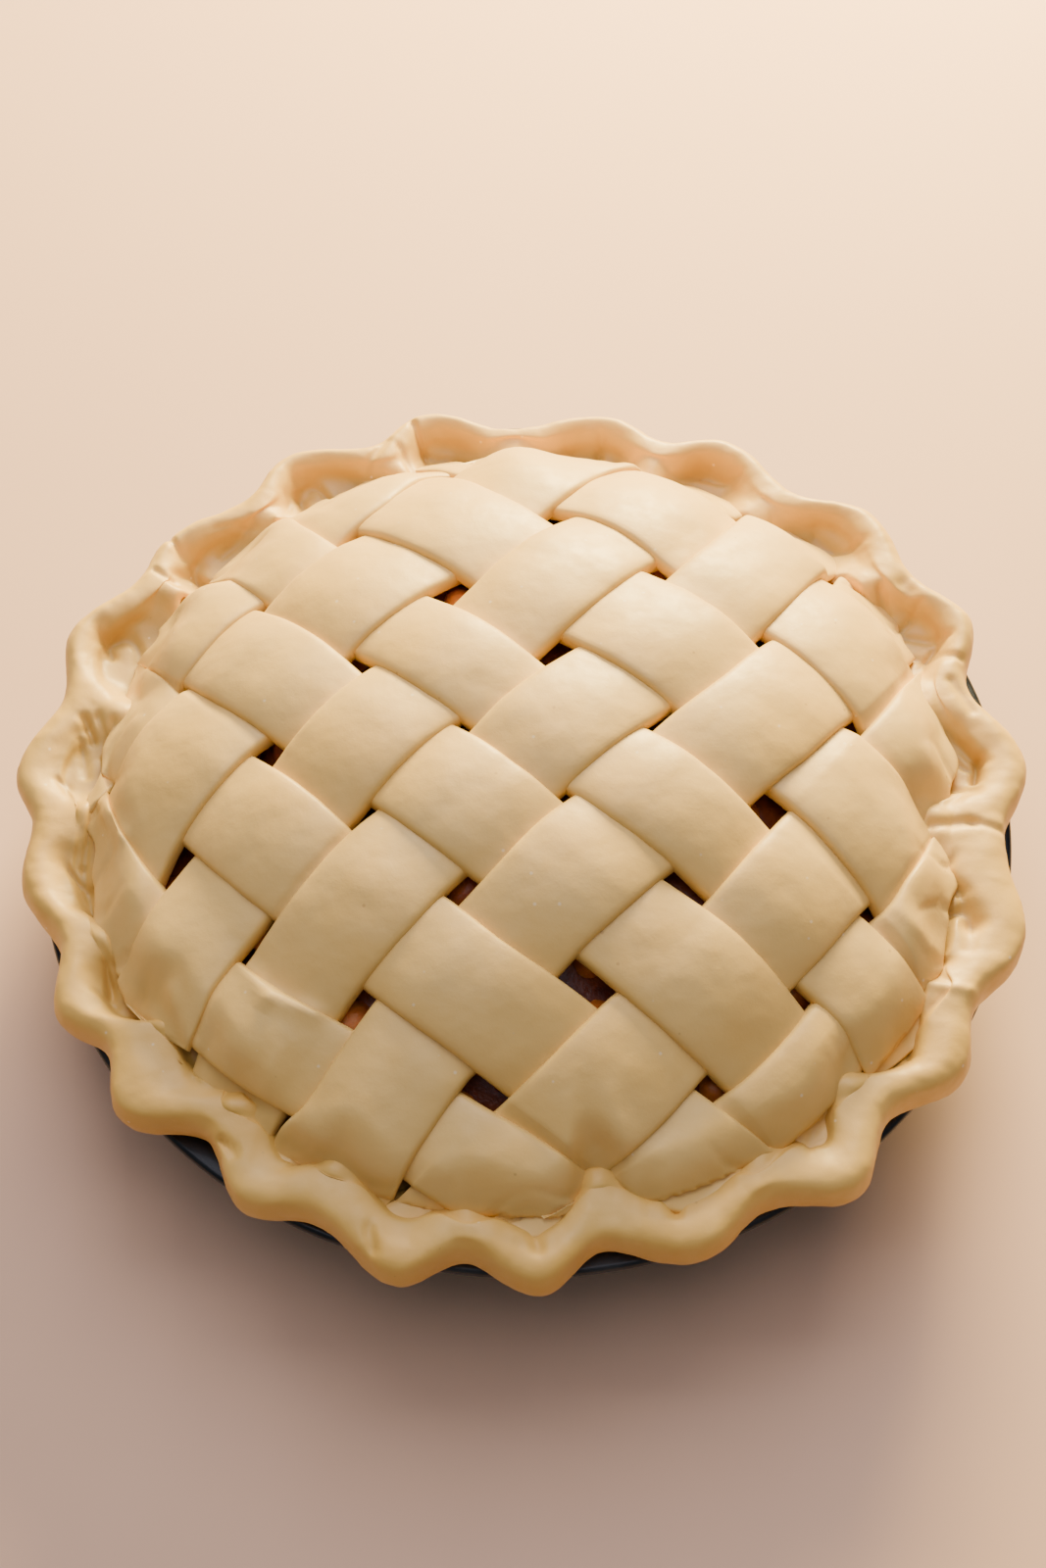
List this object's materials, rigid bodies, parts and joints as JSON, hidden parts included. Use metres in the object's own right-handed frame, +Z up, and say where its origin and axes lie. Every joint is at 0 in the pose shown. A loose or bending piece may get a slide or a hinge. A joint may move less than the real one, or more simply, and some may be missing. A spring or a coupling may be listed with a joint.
{
  "type": "lattice pie",
  "caption": "Round unbaked double-crust pie in its own dark tin: a domed woven lattice of broad dough strips over fruit filling, with a thick hand-crimped wavy rim",
  "frame": {"origin": "centre of the tin's flat base, on the surface that the tin stands on", "axes": "+Z up, -Y towards the viewer of the picture, +X to the viewer's right; metres"},
  "size_m": [0.2531, 0.2493, 0.0865],
  "materials": {
    "dark_tin": "dark slate non-stick coating, satin",
    "dough_crust": "raw shortcrust dough, matt, pale yellow-tan",
    "dough_strip": "raw rolled dough, matt with a faint flour bloom",
    "fruit_filling": "wet sugared fruit, dark red-brown and orange"
  },
  "bodies": {
    "root": {"tin": "dark_tin", "crust": "dough_crust", "filling": "fruit_filling", "strip_rising_0": "dough_strip", "strip_rising_1": "dough_strip", "strip_rising_2": "dough_strip", "strip_rising_3": "dough_strip", "strip_rising_4": "dough_strip", "strip_rising_5": "dough_strip", "strip_rising_6": "dough_strip", "strip_falling_1": "dough_strip", "strip_falling_2": "dough_strip", "strip_falling_3": "dough_strip", "strip_falling_4": "dough_strip", "strip_falling_5": "dough_strip", "strip_falling_6": "dough_strip"}
  },
  "joints": []
}
